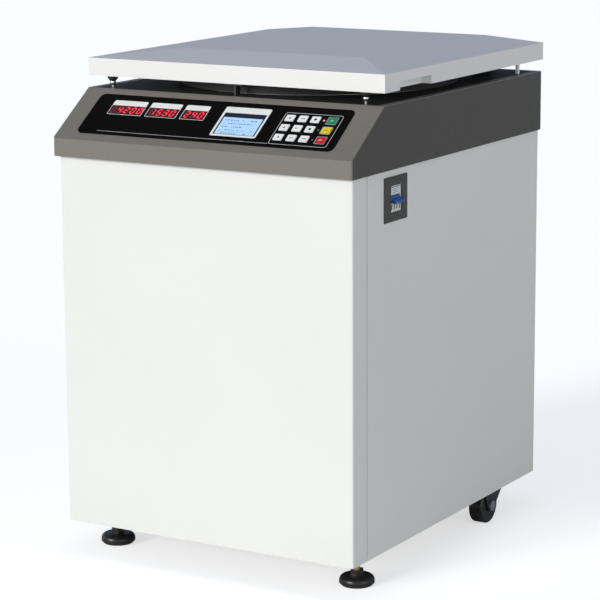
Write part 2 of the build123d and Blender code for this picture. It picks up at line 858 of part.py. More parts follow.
def lid_shell():
    """Folded lid: hip roof, skirt, inward flange, and a finger pocket in each side."""
    shell = lid_roof(0.0, lid_bottom, lid_shoulder, lid_shoulder + lid_rise)
    shell -= lid_roof(lid_wall, lid_bottom + lid_wall, lid_shoulder - lid_wall,
                      lid_shoulder + lid_rise - lid_wall)
    shell -= block(-console_half + lid_flange, console_half - lid_flange,
                   lid_front + lid_flange, lid_back - lid_rear_flange,
                   lid_bottom - 1, lid_bottom + lid_wall + 1)
    y0, y1 = notch_span()
    for side in (-1, 1):
        deep = side * (console_half - notch_depth)
        wall = side * (console_half - notch_depth - lid_wall)
        shell += block(wall, side * console_half, y0 - lid_wall, y1 + lid_wall,
                       lid_bottom, lid_bottom + notch_height + lid_wall)
        shell -= block(deep, side * (console_half + 1), y0, y1,
                       lid_bottom - 1, lid_bottom + notch_height)
    return shell


def lid_liner():
    """Liner on the lid's flange, with a shallow plug over the chamber."""
    edge = console_half - lid_wall - liner_gap
    sheet_top = liner_bottom + liner_wall
    liner = block(-edge, edge, lid_front + lid_wall + liner_gap,
                  lid_back - lid_wall - liner_gap,
                  liner_bottom, sheet_top)
    y0, y1 = notch_span()
    for side in (-1, 1):
        pocket = side * (console_half - notch_depth - lid_wall - liner_gap)
        liner -= block(pocket, side * console_half, y0 - lid_wall - liner_gap,
                       y1 + lid_wall + liner_gap, liner_bottom - 1, sheet_top + 1)
    radius = chamber_radius - plug_clearance
    liner += post(0, chamber_y, liner_bottom - plug_depth, sheet_top, radius)
    return liner - post(0, chamber_y, liner_bottom - plug_depth + liner_wall, sheet_top + 1,
                        radius - liner_wall)


def lid_foam():
    """Insulation between the liner and the lid's roof."""
    low = liner_bottom + liner_wall
    foam = block(-console_half + foam_inset, console_half - foam_inset, lid_front + foam_inset,
                 lid_back - foam_inset, low, lid_shoulder - lid_wall - liner_gap)
    plug = post(0, chamber_y, liner_bottom - plug_depth + liner_wall, low,
                chamber_radius - plug_clearance - liner_wall - foam_gap)
    return foam + plug


def hinge_centres():
    """X of both hinges."""
    return [-hinge_span / 2, hinge_span / 2]


def hinge_brackets():
    """Console-mounted brackets, each with two ears round the arm's knuckle."""
    made = []
    for x in hinge_centres():
        out = knuckle_length / 2 + ear_gap + ear_thickness
        back = hinge_y + hinge_bracket_back
        foot = block(x - out, x + out, back - hinge_bracket_depth, back,
                     console_top, console_top + hinge_foot)
        for side in (-1, 1):
            x0, x1 = sorted((x + side * (out - ear_thickness), x + side * out))
            foot += rod_x(x0, x1, hinge_y, hinge_z, knuckle_radius)
            foot += block(x0, x1, hinge_y - knuckle_radius, back, console_top, hinge_z)
        foot -= rod_x(x - out - 1, x + out + 1, hinge_y, hinge_z, hinge_pin_radius)
        made.append(foot)
    return made


def hinge_pins():
    """Pins fixed in the brackets' ears."""
    out = knuckle_length / 2 + ear_gap + ear_thickness
    return [rod_x(x - out, x + out, hinge_y, hinge_z, hinge_pin_radius)
            for x in hinge_centres()]


def hinge_arms():
    """Leaves under the lid's rear flange, each with the knuckle that turns on the pin."""
    made = []
    half = knuckle_length / 2
    for x in hinge_centres():
        leaf = block(x - half - leaf_margin, x + half + leaf_margin,
                     lid_back - lid_rear_flange + leaf_inset, hinge_y + leaf_margin,
                     lid_bottom - hinge_leaf, lid_bottom)
        leaf += block(x - half, x + half, hinge_y - knuckle_radius, hinge_y + knuckle_radius,
                      hinge_z, lid_bottom - hinge_leaf)
        leaf += rod_x(x - half, x + half, hinge_y, hinge_z, knuckle_radius)
        leaf -= rod_x(x - half - 1, x + half + 1, hinge_y, hinge_z,
                      hinge_pin_radius + hinge_pin_clearance)
        made.append(leaf)
    return made


def lid_striker():
    """Tongue under the lid's front flange, with the hole that the lock bolt enters."""
    half = striker_width / 2
    foot_low = lid_bottom - striker_foot_thickness
    foot = block(-striker_foot_half, striker_foot_half, lid_front + striker_foot_setback,
                 striker_y + half, foot_low, lid_bottom)
    tongue = block(-striker_thickness / 2, striker_thickness / 2, striker_y - half,
                   striker_y + half, lid_bottom - striker_reach, foot_low)
    hole = rod_x(-striker_thickness, striker_thickness, striker_y, bolt_z,
                 lock_bolt_radius + striker_hole_clearance)
    return foot + tongue - hole


def lock_housing():
    """Solenoid box under the console's top, bored for the lock bolt."""
    start = lock_travel
    deep = striker_width / 2 + lock_body_margin
    box = block(start, start + lock_body_length, striker_y - deep, striker_y + deep,
                bolt_z - lock_body_drop, console_top - console_wall)
    return box - rod_x(start - 1, start + lock_bolt_length + lock_bore_relief, striker_y, bolt_z,
                       lock_bolt_radius + lock_bolt_clearance)


def lock_bolt():
    """Bolt that the solenoid pushes through the striker; drawn back at rest."""
    tip = striker_thickness / 2 + lock_bolt_rest_gap
    return rod_x(tip, tip + lock_bolt_length, striker_y, bolt_z, lock_bolt_radius)


def lid_bumpers():
    """Front bumpers: a stem and ball on the console, under a cone-shaped cap."""
    made = []
    y = lid_front + bumper_setback
    top = lid_bottom - rest_clearance
    for side in (-1, 1):
        x = side * bumper_spread
        cone_z = top - bumper_pad - bumper_cone / 2
        stem = post(x, y, console_top, cone_z, bumper_stem_radius)
        ball = Pos(x, y, console_top + bumper_ball_rise) * Sphere(bumper_ball_radius)
        cone = Pos(x, y, cone_z) * Cone(bumper_tip_radius, bumper_cap_radius, bumper_cone)
        pad = post(x, y, top - bumper_pad, top, bumper_cap_radius)
        made.append(stem + ball + cone + pad)
    return made


def rear_rests():
    """Lugs under the lid that come down on the console near its rear corners."""
    made = []
    y = lid_back - rest_forward
    half = rest_width / 2
    thick = rest_thickness / 2
    low = console_top + rest_clearance
    for side in (-1, 1):
        x = side * rest_spread
        lug = block(x - thick, x + thick, y - half, y + half, low + half, lid_bottom)
        lug += rod_x(x - thick, x + thick, y, low + half, half)
        made.append(lug)
    return made


# Feet and casters

def levelling_foot(side):
    """Domed pad, nut and threaded stem in one piece."""
    x = side * foot_spread
    pad = post(x, foot_y, 0, foot_height, foot_radius)
    pad = fillet(pad.edges().group_by(Axis.Z)[-1], foot_dome)
    pad = chamfer(pad.edges().group_by(Axis.Z)[0], foot_chamfer)
    nut = extrude(Pos(x, foot_y, foot_height) * RegularPolygon(foot_nut_radius, 6),
                  foot_nut_height)
    return pad + nut + post(x, foot_y, foot_height, base_top + foot_boss + foot_travel,
                            foot_stem_radius)


def fork_walls(side):
    """Both X positions of the fork's legs on one side of the machine."""
    gap = wheel_width / 2 + fork_gap
    return [sorted((side * wheel_spread + s * gap, side * wheel_spread + s * (gap + fork_wall)))
            for s in (-1, 1)]


def caster_forks():
    """Rigid forks: a plate under the base, and two tapered legs."""
    made = []
    for side in (-1, 1):
        legs = fork_walls(side)
        x0, x1 = min(legs[0][0], legs[1][0]), max(legs[0][1], legs[1][1])
        top = base_bottom - fork_plate
        fork = block(x0, x1, wheel_y - leg_top_front - fork_end,
                     wheel_y + leg_top_rear + fork_end, top, base_bottom)
        for a, b in legs:
            low = wheel_radius - leg_low_half
            outline = Polyline((wheel_y - leg_top_front, top), (wheel_y - leg_low_half, low),
                               (wheel_y + leg_low_half, low), (wheel_y + leg_top_rear, top),
                               close=True)
            leg = Pos(a, 0, 0) * extrude(Plane.YZ * make_face(outline), b - a)
            fork += leg
        fork -= rod_x(x0 - 1, x1 + 1, wheel_y, wheel_radius, axle_radius)
        made.append(fork)
    return made


def caster_axles():
    """Axles through both legs, with a nut outside."""
    made = []
    for side in (-1, 1):
        legs = fork_walls(side)
        x0, x1 = min(legs[0][0], legs[1][0]), max(legs[0][1], legs[1][1])
        axle = rod_x(x0, x1, wheel_y, wheel_radius, axle_radius)
        if side > 0:
            axle += rod_x(x1, x1 + axle_nut, wheel_y, wheel_radius, axle_nut_radius)
        else:
            axle += rod_x(x0 - axle_nut, x0, wheel_y, wheel_radius, axle_nut_radius)
        made.append(axle)
    return made


def caster_wheel(side):
    """Wheel with a rounded tread that turns on its axle."""
    x = side * wheel_spread
    half = wheel_width / 2
    wheel = rod_x(x - half, x + half, wheel_y, wheel_radius, wheel_radius)
    wheel = fillet(wheel.edges().filter_by(GeomType.CIRCLE), tread_round)
    return wheel - rod_x(x - half - 1, x + half + 1, wheel_y, wheel_radius,
                         axle_radius + axle_clearance)


# Refrigeration and electrics

def compressor():
    """Hermetic compressor can on its foot plate."""
    wide, deep, high = compressor_foot
    can = post(compressor_x, compressor_y, base_top + high, base_top + compressor_height,
               compressor_radius)
    can = fillet(can.edges().group_by(Axis.Z)[-1], compressor_dome)
    foot = block(compressor_x - wide / 2, compressor_x + wide / 2, compressor_y - deep / 2,
                 compressor_y + deep / 2, base_top, base_top + high)
    return can + foot


def condenser():
    """Finned block that stands on the base plate in front of the rear louvres."""
    x0, x1 = condenser_x - condenser_width / 2, condenser_x + condenser_width / 2
    return block(x0, x1, condenser_front, condenser_front + condenser_depth, base_top,
                 condenser_z + condenser_height)


def fan_shroud():
    """Shroud on the condenser, with a spider that carries the fan motor."""
    x0, x1 = condenser_x - condenser_width / 2, condenser_x + condenser_width / 2
    shroud = block(x0, x1, shroud_front, condenser_front, condenser_z,
                   condenser_z + condenser_height)
    ring = fan_radius + fan_tip_gap
    shroud -= rod_y(condenser_x, shroud_front - 1, condenser_front + 1, fan_z, ring)
    half = spider_width / 2
    shroud += block(condenser_x - ring - half, condenser_x + ring + half,
                    shroud_front - spider_depth, shroud_front, fan_z - half, fan_z + half)
    shroud += rod_y(condenser_x, shroud_front - fan_motor_length, shroud_front, fan_z,
                    fan_motor_radius)
    return shroud + rod_y(condenser_x, shroud_front, fan_front + fan_depth, fan_z,
                          fan_pin_radius)


def condenser_fan():
    """Fan wheel: a hub and pitched blades on the fan motor's pin."""
    hub_front = shroud_front + 1.0
    fan = rod_y(condenser_x, hub_front, fan_front + fan_depth, fan_z, fan_hub_radius)
    length = fan_radius - fan_hub_radius + blade_root
    middle = fan_hub_radius - blade_root + length / 2
    for i in range(fan_blades):
        flat = Box(fan_hub_radius * 1.6, blade_thickness, length)
        blade = Pos(0, 0, middle) * Rot(0, 0, blade_pitch) * flat
        turned = Rot(0, 360 / fan_blades * i, 0) * blade
        fan += Pos(condenser_x, fan_front + fan_depth / 2, fan_z) * turned
    sweep_room = rod_y(condenser_x, fan_front - blade_margin,
                       fan_front + fan_depth + blade_margin, fan_z, fan_radius)
    fan = fan & sweep_room
    return fan - rod_y(condenser_x, hub_front - 1, fan_front + fan_depth + 1, fan_z,
                       fan_pin_radius + axle_clearance)


def tube_run(points, radius, bend):
    """Round tube along straight runs with tangent bends."""
    path = FilletPolyline(*points, radius=bend)
    section = Plane(origin=path @ 0, z_dir=path % 0) * Circle(radius)
    return sweep(section, path=path)


def refrigerant_pipes():
    """Discharge line to the condenser, and the suction line up to the foamed coil."""
    top = base_top + compressor_height
    bend = 4 * tube_radius
    side_x = condenser_x - condenser_width / 2
    entry_z = top - 2 * tube_radius
    entry_y = condenser_front + condenser_depth / 2
    over = top + 8 * tube_radius
    discharge = tube_run([
        (compressor_x, compressor_y, top),
        (compressor_x, compressor_y, over),
        (compressor_x, entry_y, over),
        (compressor_x, entry_y, entry_z),
        (side_x, entry_y, entry_z),
    ], tube_radius, bend)
    over = top + 18 * tube_radius
    high = deck_top + guard_height + 3 * tube_radius
    reach = math.sqrt(jacket_outer**2 - (abs(suction_x) - tube_radius) ** 2)
    suction = tube_run([
        (suction_x, compressor_y, top),
        (suction_x, compressor_y, over),
        (suction_x, suction_y, over),
        (suction_x, suction_y, high),
        (suction_x, chamber_y + reach + coil_gap, high),
    ], tube_radius, bend)
    return [discharge, suction]


def inverter_unit():
    """Motor drive in its case on the base plate."""
    wide, deep, high = inverter_size
    right = foot_spread - foot_boss_radius - inverter_clearance
    near = front_y + inverter_setback
    return block(right - wide, right, near, near + deep, base_top, base_top + high)


def power_inlet():
    """Flush appliance inlet: flange, recessed socket and three blades."""
    wide, high = inlet_size[0] / 2, inlet_size[1] / 2
    side, lip, thick = inlet_flange
    face_y = back_y + thick
    floor_y = face_y - inlet_depth
    inlet = block(inlet_x - wide, inlet_x + wide, floor_y - 2 * thick, back_y,
                  inlet_z - high, inlet_z + high)
    inlet += block(inlet_x - wide - side, inlet_x + wide + side, back_y, face_y,
                   inlet_z - high - lip, inlet_z + high + lip)
    wide, high = wide - inlet_wall, high - inlet_wall
    inlet -= block(inlet_x - wide, inlet_x + wide, floor_y, face_y + 1,
                   inlet_z - high, inlet_z + high)
    half, rise = inlet_pin[0] / 2, inlet_pin[1] / 2
    for step in (-1, 0, 1):
        x = inlet_x + step * inlet_pin_step
        z = inlet_z + (inlet_pin_offset if step == 0 else -inlet_pin_offset)
        inlet += block(x - half, x + half, floor_y, back_y - inlet_wall, z - rise, z + rise)
    return inlet


write("front_panel", front_panel())
write("left_panel", side_panel(-1))
write("right_panel", side_panel(1))
write("rear_panel", rear_panel())
write("panel_screws", *panel_screws())
write("base_plate", base_plate())
write("frame", frame())
write("top_console", top_console())
write("control_face", control_face())
write("displays", *led_displays(), lcd_screen())
write("control_board", control_board())
for number, (x, t) in enumerate(key_places(), start=1):
    write(f"key_{number}", key(x, t))
write("breaker_escutcheon", breaker_escutcheon())
write("circuit_breaker", circuit_breaker())
write("breaker_toggle", breaker_toggle())
write("chamber_bowl", chamber_bowl())
write("chamber_seal", chamber_seal())
write("insulation_jacket", insulation_jacket())
write("guard_ring", guard_ring())
write("drive_motor", drive_motor())
write("motor_mounts", *motor_mounts())
write("drive_shaft", drive_shaft())
write("rotor_head", rotor_head())
write("rotor_nut", rotor_nut())
for number in range(4):
    write(f"bucket_{number + 1}", Pos(0, chamber_y, 0) * Rot(0, 0, 90 * number) * bucket())
write("lid_shell", lid_shell())
write("lid_liner", lid_liner())
write("lid_foam", lid_foam())
write("hinge_brackets", *hinge_brackets(), *hinge_pins())
write("hinge_arms", *hinge_arms())
write("lid_striker", lid_striker())
write("lock_housing", lock_housing())
write("lock_bolt", lock_bolt())
write("lid_bumpers", *lid_bumpers())
write("rear_rests", *rear_rests())
write("left_foot", levelling_foot(-1))
write("right_foot", levelling_foot(1))
write("caster_forks", *caster_forks(), *caster_axles())
write("left_wheel", caster_wheel(-1))
write("right_wheel", caster_wheel(1))
write("compressor", compressor())
write("condenser", condenser(), fan_shroud())
write("condenser_fan", condenser_fan())
write("refrigerant_pipes", evaporator_coil(), *refrigerant_pipes())
write("inverter_unit", inverter_unit())
write("power_inlet", power_inlet())
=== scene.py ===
# %% [markdown]
# A floor-standing refrigerated centrifuge.
# The cell below loads the machine's measured model, which everything else is fitted to.

# %% Load the model
import bpy
import json
import math
import random
from mathutils import Matrix, Vector


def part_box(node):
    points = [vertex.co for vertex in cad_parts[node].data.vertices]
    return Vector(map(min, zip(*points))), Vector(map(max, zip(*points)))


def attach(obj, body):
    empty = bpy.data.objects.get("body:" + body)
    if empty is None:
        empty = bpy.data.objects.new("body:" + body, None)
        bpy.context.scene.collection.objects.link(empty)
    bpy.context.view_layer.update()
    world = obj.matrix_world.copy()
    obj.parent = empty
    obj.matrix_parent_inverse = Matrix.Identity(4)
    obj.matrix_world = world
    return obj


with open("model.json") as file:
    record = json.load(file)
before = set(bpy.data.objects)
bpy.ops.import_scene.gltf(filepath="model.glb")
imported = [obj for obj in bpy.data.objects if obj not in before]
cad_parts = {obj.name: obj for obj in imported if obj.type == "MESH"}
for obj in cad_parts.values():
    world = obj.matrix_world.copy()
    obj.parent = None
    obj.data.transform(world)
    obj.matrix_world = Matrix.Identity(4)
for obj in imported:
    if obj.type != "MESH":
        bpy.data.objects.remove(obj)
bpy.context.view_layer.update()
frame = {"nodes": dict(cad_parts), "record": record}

nodes = frame["nodes"]

# %% [markdown]
# Sizes of the printed face, in millimetres along the control slope.
# X runs to the right and T up the slope.

# %% Sizes of the control face
CONSOLE_FRONT, CONSOLE_BASE = -339.3, 676.0
CONSOLE_HEIGHT, LIP_HEIGHT, SLOPE_RUN = 102.4, 29.7, 103.4
SLOPE_FOOT = CONSOLE_BASE + LIP_HEIGHT
SLOPE_ANGLE = math.atan2(CONSOLE_HEIGHT - LIP_HEIGHT, SLOPE_RUN)
FACE_TOP = 1.2
FILM_TOP = FACE_TOP + 0.12
GLASS_TOP = FACE_TOP + 0.1
EDGING_TOP = FACE_TOP + 0.2
INK_TOP = FACE_TOP + 0.24
HEADER_TOP = FACE_TOP + 0.25
DIGIT_TOP = FACE_TOP + 0.3
SURROUND_TOP = FACE_TOP + 0.35
LED_WINDOWS = [(-208.0, -144.5), (-134.5, -77.5), (-67.0, -24.0)]
LED_VALUES = [" 4200", "15:30", "240"]
LED_LOW, LED_MIDDLE, LED_HIGH = 65.5, 86.2, 98.0
EDGE_OUTER, EDGE_INNER, EDGE_RISE = 1.2, 0.5, 1.8
DIGIT_PITCH, DIGIT_WIDE, DIGIT_HIGH = 12.75, 9.4, 15.8
DIGIT_LEAN = math.radians(9)
DIGITS_SHIFT = -1.0
COLON_RISES, COLON_RADIUS, COLON_SHIFT = (4.2, 9.6), 0.95, 1.2
LCD_FRAME = (5.5, 91.0, 32.5, 100.5)
LCD_GLASS = (9.6, 87.4, 36.4, 87.0)
LCD_LIT = (12.4, 84.6, 37.6, 76.5)
MARK_ROWS, MARK_PITCH, MARK_HALF, MARK_GAP = 5, 7.6, 1.0, 1.6
MARK_TOP, MARK_LEFT, MARK_RIGHT = 6.5, 5.0, 9.0
MARK_WIDTHS = (2.0, 5.5)
FULL_ROWS, FULL_UNTIL = (1, 3), 48
OFTEN, SELDOM = 0.75, 0.35
PAD = (118.0, 223.0, 23.4, 97.0)
PAD_RADIUS, LINE_WIDTH, BASE_LINE_LEFT = 5.0, 1.0, -206.0
KEY_COLUMNS = [130.7, 154.0, 177.0, 206.5]
KEY_ROWS = [84.0, 61.7, 39.3]
KEY_HALF = (7.85, 7.0)
KEY_EDGE_OUTER, KEY_EDGE_INNER = 1.5, 0.7
KEY_TOP, KEY_INK = 2.2, 0.06
LAMP_X, LAMP_RADIUS, LAMP_RISE = 192.0, 1.9, 0.7
print("three windows, one screen,", len(KEY_COLUMNS) * len(KEY_ROWS), "keys")

# %% [markdown]
# Shader values behave like numbers, so a surface can be written as a sum.

# %% Shader values as numbers


class Num:
    """A shader value that takes part in sums like a number."""

    def __init__(self, mat, socket):
        self.mat = mat
        self.socket = socket

    def do(self, kind, *others):
        node = self.mat.node("ShaderNodeMath", operation=kind)
        for socket, value in zip(node.inputs, (self, *others)):
            self.mat.feed(socket, value)
        return Num(self.mat, node.outputs[0])

    def __add__(self, other):
        return self.do("ADD", other)

    def __sub__(self, other):
        return self.do("SUBTRACT", other)

    def __mul__(self, other):
        return self.do("MULTIPLY", other)

    def above(self, edge):
        return self.do("GREATER_THAN", edge)

    def below(self, edge):
        return self.do("LESS_THAN", edge)

    def size(self):
        return self.do("ABSOLUTE")

    def clamp(self):
        node = self.mat.node("ShaderNodeClamp")
        self.mat.feed(node.inputs[0], self)
        return Num(self.mat, node.outputs[0])


class Mat:
    """A material with one principled surface, and textures in object space."""

    def __init__(self, name):
        self.data = bpy.data.materials.new(name)
        self.data.use_nodes = True
        self.tree = self.data.node_tree
        self.tree.nodes.clear()
        out = self.node("ShaderNodeOutputMaterial")
        self.bsdf = self.node("ShaderNodeBsdfPrincipled")
        self.tree.links.new(self.bsdf.outputs[0], out.inputs[0])
        self.place = self.node("ShaderNodeTexCoord").outputs["Object"]
        split = self.node("ShaderNodeSeparateXYZ")
        self.tree.links.new(self.place, split.inputs[0])
        self.x, self.y, self.z = [Num(self, s) for s in split.outputs]

    def node(self, kind, **settings):
        made = self.tree.nodes.new(kind)
        for key, value in settings.items():
            setattr(made, key, value)
        return made

    def feed(self, socket, value):
        if isinstance(value, Num):
            self.tree.links.new(value.socket, socket)
        else:
            socket.default_value = value

    def noise(self, scale, detail=3.0, stretch=(1, 1, 1)):
        """Cloudy value from 0 to 1; the stretch squeezes it along an axis."""
        mapping = self.node("ShaderNodeMapping")
        mapping.inputs["Scale"].default_value = stretch
        self.tree.links.new(self.place, mapping.inputs["Vector"])
        cloud = self.node("ShaderNodeTexNoise")
        cloud.inputs["Scale"].default_value = scale
        cloud.inputs["Detail"].default_value = detail
        self.tree.links.new(mapping.outputs[0], cloud.inputs["Vector"])
        return Num(self, cloud.outputs[0])

    def mix(self, factor, low, high):
        """Colour between two others."""
        node = self.node("ShaderNodeMix", data_type="RGBA")
        self.feed(node.inputs[0], factor)
        for index, colour in ((6, low), (7, high)):
            self.feed(node.inputs[index], colour if isinstance(colour, Num) else (*colour, 1.0))
        return Num(self, node.outputs[2])

    def bump(self, height, strength, distance):
        node = self.node("ShaderNodeBump")
        node.inputs["Strength"].default_value = strength
        node.inputs["Distance"].default_value = distance
        self.feed(node.inputs["Height"], height)
        self.tree.links.new(node.outputs[0], self.bsdf.inputs["Normal"])

    def set(self, **values):
        for key, value in values.items():
            socket = self.bsdf.inputs[key.replace("_", " ")]
            flat = isinstance(value, tuple) and len(value) == 3
            self.feed(socket, (*value, 1.0) if flat else value)


def shade(colour, factor):
    return tuple(c * factor for c in colour)


# %% [markdown]
# Each finish below is a recipe: paint, drawn or turned metal, moulded plastic, rubber and foam.

# %% Finishes


def paint(name, colour, rough=0.38, peel=900.0, depth=0.00004, spread=0.03):
    """Sprayed coat: fine orange peel, faint clouds of tone, and dust low down."""
    mat = Mat(name)
    cloud = mat.noise(4.0, 4.0)
    dust = (mat.z * -9.0 + 1.35).clamp() * mat.noise(40.0)
    tone = mat.mix(cloud, shade(colour, 1.0 - spread), shade(colour, 1.0 + spread * 0.4))
    mat.set(Base_Color=mat.mix(dust * 0.22, tone, shade(colour, 0.8)),
            Roughness=mat.noise(60.0) * 0.1 + (rough - 0.05), Coat_Weight=0.06)
    mat.bump(mat.noise(peel, 2.0), 0.35, depth)
    return mat


def drawn(name, colour, rough, stretch):
    """Metal with fine lines along one way."""
    mat = Mat(name)
    lines = mat.noise(30.0, 3.0, stretch)
    mat.set(Base_Color=mat.mix(lines, shade(colour, 0.82), shade(colour, 1.05)),
            Roughness=lines * 0.16 + (rough - 0.08), Metallic=1.0)
    mat.bump(lines, 0.25, 0.00003)
    return mat


def turned(name, colour, rough, centre_y, pitch=0.0006):
    """Metal with rings round an upright line through x 0."""
    mat = Mat(name)
    dy = mat.y - centre_y
    radius = (mat.x * mat.x + dy * dy).do("SQRT")
    rings = (radius * (2 * math.pi / pitch) + mat.noise(9.0) * 3.0).do("SINE") * 0.5 + 0.5
    smear = mat.noise(25.0)
    mat.set(Base_Color=mat.mix(smear, shade(colour, 0.93), shade(colour, 1.03)),
            Roughness=rings * 0.07 + smear * 0.04 + (rough - 0.05), Metallic=1.0)
    mat.bump(rings, 0.12, 0.00002)
    return mat


def moulded(name, colour, rough=0.45, grain=1400.0, coat=0.0, depth=0.00003):
    """Plastic with a spark-eroded grain and a little wear in its shine."""
    mat = Mat(name)
    cloud = mat.noise(30.0)
    mat.set(Base_Color=mat.mix(cloud, shade(colour, 0.9), shade(colour, 1.08)),
            Roughness=cloud * 0.14 + (rough - 0.07), Coat_Weight=coat)
    mat.bump(mat.noise(grain, 2.0), 0.3, depth)
    return mat


def glowing(name, colour, strength, low=0.82):
    """A lit area, a little uneven over its width."""
    mat = Mat(name)
    cells = mat.noise(160.0)
    lit = mat.mix(cells, shade(colour, low), colour)
    mat.set(Base_Color=shade(colour, 0.3), Emission_Color=lit, Emission_Strength=strength,
            Roughness=mat.noise(60.0) * 0.1 + 0.25)
    return mat


def two_tone(mat, factor, colour, metallic, rough):
    """Where the factor is 1, the surface takes another colour and shine."""
    base = Num(mat, mat.bsdf.inputs["Base Color"].links[0].from_socket)
    shine = Num(mat, mat.bsdf.inputs["Roughness"].links[0].from_socket)
    other = mat.mix(mat.noise(300.0), shade(colour, 0.8), shade(colour, 1.1))
    was = mat.bsdf.inputs["Metallic"].default_value
    mat.set(Base_Color=mat.mix(factor, base, other), Metallic=factor * (metallic - was) + was,
            Roughness=shine + factor * rough)


# %% [markdown]
# Every material slot of the machine gets a finish of its own.

# %% Materials by slot
SPIN_Y = 0.0424
WHITE = (0.87, 0.878, 0.852)
finishes = {
    "panel_white": paint("panel_white", WHITE),
    "console_grey": paint("console_grey", (0.205, 0.192, 0.166), rough=0.44, peel=520.0,
                          depth=0.00012, spread=0.06),
    "lid_paint": paint("lid_paint", (0.885, 0.885, 0.87), rough=0.33, spread=0.02),
    "stainless": turned("stainless", (0.8, 0.8, 0.79), 0.34, SPIN_Y),
    "seal_rubber": moulded("seal_rubber", (0.035, 0.035, 0.036), rough=0.75, grain=600.0),
    "foam": moulded("foam", (0.78, 0.68, 0.42), rough=0.9, grain=260.0, depth=0.0006),
    "guard_steel": paint("guard_steel", (0.18, 0.18, 0.19), rough=0.55),
    "face_film": moulded("face_film", (0.0035, 0.003, 0.003), rough=0.5, grain=500.0),
    "display_glass": moulded("display_glass", (0.02, 0.004, 0.005), rough=0.15, coat=0.5),
    "board": moulded("board", (0.02, 0.16, 0.07), rough=0.4, grain=300.0),
    "escutcheon": moulded("escutcheon", (0.07, 0.068, 0.06), rough=0.5),
    "breaker_case": moulded("breaker_case", (0.85, 0.86, 0.84), rough=0.42),
    "toggle_blue": moulded("toggle_blue", (0.02, 0.13, 0.42), rough=0.3, coat=0.2),
    "motor_iron": paint("motor_iron", (0.12, 0.15, 0.2), rough=0.55, peel=240.0, depth=0.0003),
    "zinc_steel": drawn("zinc_steel", (0.6, 0.6, 0.57), 0.36, (1, 20, 1)),
    "lock_case": moulded("lock_case", (0.03, 0.03, 0.03)),
    "bumper_chrome": drawn("bumper_chrome", (0.82, 0.82, 0.83), 0.14, (1, 1, 8)),
    "black_steel": paint("black_steel", (0.012, 0.012, 0.013), rough=0.36),
    "fin_aluminium": drawn("fin_aluminium", (0.66, 0.68, 0.7), 0.4, (60, 1, 1)),
    "fan_plastic": moulded("fan_plastic", (0.03, 0.03, 0.032)),
    "copper": drawn("copper", (0.72, 0.36, 0.2), 0.32, (1, 1, 6)),
    "drive_case": moulded("drive_case", (0.11, 0.11, 0.12)),
    "inlet_black": moulded("inlet_black", (0.02, 0.02, 0.02), rough=0.4),
    "shaft_steel": turned("shaft_steel", (0.6, 0.6, 0.6), 0.22, SPIN_Y),
    "rotor_aluminium": turned("rotor_aluminium", (0.62, 0.63, 0.66), 0.34, SPIN_Y, 0.0011),
    "foot_rubber": moulded("foot_rubber", (0.012, 0.012, 0.012), rough=0.34, grain=420.0),
    "wheel_nylon": moulded("wheel_nylon", (0.014, 0.014, 0.015), rough=0.3, grain=500.0),
    "key_white": moulded("key_white", (0.95, 0.955, 0.95), rough=0.4),
    "key_green": moulded("key_green", (0.0, 0.27, 0.14), rough=0.35),
    "key_yellow": moulded("key_yellow", (0.86, 0.66, 0.02), rough=0.35),
    "key_red": moulded("key_red", (0.62, 0.01, 0.02), rough=0.35),
}
print("finishes", len(finishes))

# %% [markdown]
# Some pieces show two tones: plated stems in the feet, bright axle ends in the casters, and black
# caps on the bumpers. The console gets painted shadow on its flat top under the lid, and painted
# shade on its sides.

# %% Second tones and painted shade
STEM_RADIUS, PAD_TOP = 0.0056, 0.0255
AXLE_END, AXLE_TOP = 0.0034, 0.05
# Extent of the painted shadow on the console's flat top, in metres.
LID_SHADOW_HALF, LID_SHADOW_FRONT, LID_SHADOW_BACK = 0.2665, -0.2325, 0.327
SKIN = 0.0006
BUMPER_CAP = 0.7893

foot = finishes["foot_rubber"]
foot_x, foot_y = [(low + high) / 2 for low, high in zip(*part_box("right_foot"))][:2]
stem_x = foot.x.size() - foot_x
stem_y = foot.y - foot_y
stem = (stem_x * stem_x + stem_y * stem_y).below(STEM_RADIUS ** 2) * foot.z.above(PAD_TOP)
two_tone(foot, stem, (0.62, 0.52, 0.24), 1.0, 0.05)

fork = finishes["black_steel"]
fork_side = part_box("caster_forks")[1][0]
axle = fork.x.size().above(fork_side - AXLE_END) * fork.z.below(AXLE_TOP)
two_tone(fork, axle, (0.45, 0.45, 0.46), 1.0, 0.0)

console = finishes["console_grey"]
console_side, _, console_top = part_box("top_console")[1]
# Painted shadow: where the lid's shadow falls on the console's flat top, the grey paint is
# coloured a bluish near-black.
painted_lid_shadow = (console.z.above(console_top - SKIN) * console.x.size().below(LID_SHADOW_HALF)
           * console.y.above(LID_SHADOW_FRONT) * console.y.below(LID_SHADOW_BACK))
two_tone(console, painted_lid_shadow, (0.006, 0.007, 0.010), 0.0, 0.3)
# Painted shade: the console's outer side faces are coloured darker than its front, for the shade
# on that side; it is the same paint.
painted_side_shade = console.x.size().above(console_side - SKIN) * console.z.below(console_top - 0.001)
two_tone(console, painted_side_shade, (0.081, 0.076, 0.064), 0.0, 0.05)

bumper = finishes["bumper_chrome"]
two_tone(bumper, bumper.z.above(BUMPER_CAP), (0.02, 0.02, 0.02), 0.0, 0.45)

finishes["face_film"].set(Specular_IOR_Level=0.04)
print("second tones on the feet, casters, console and bumpers")

# %% [markdown]
# Each node of the machine takes the finish of its slot.

# %% Finishes on the nodes
for entry in frame["record"]["subparts"]:
    mesh = nodes[entry["node"]].data
    mesh.materials.clear()
    mesh.materials.append(finishes[entry["material_slot"]].data)

# %% [markdown]
# Folded sheet has a small radius at each bend, and it is that radius which catches the light.

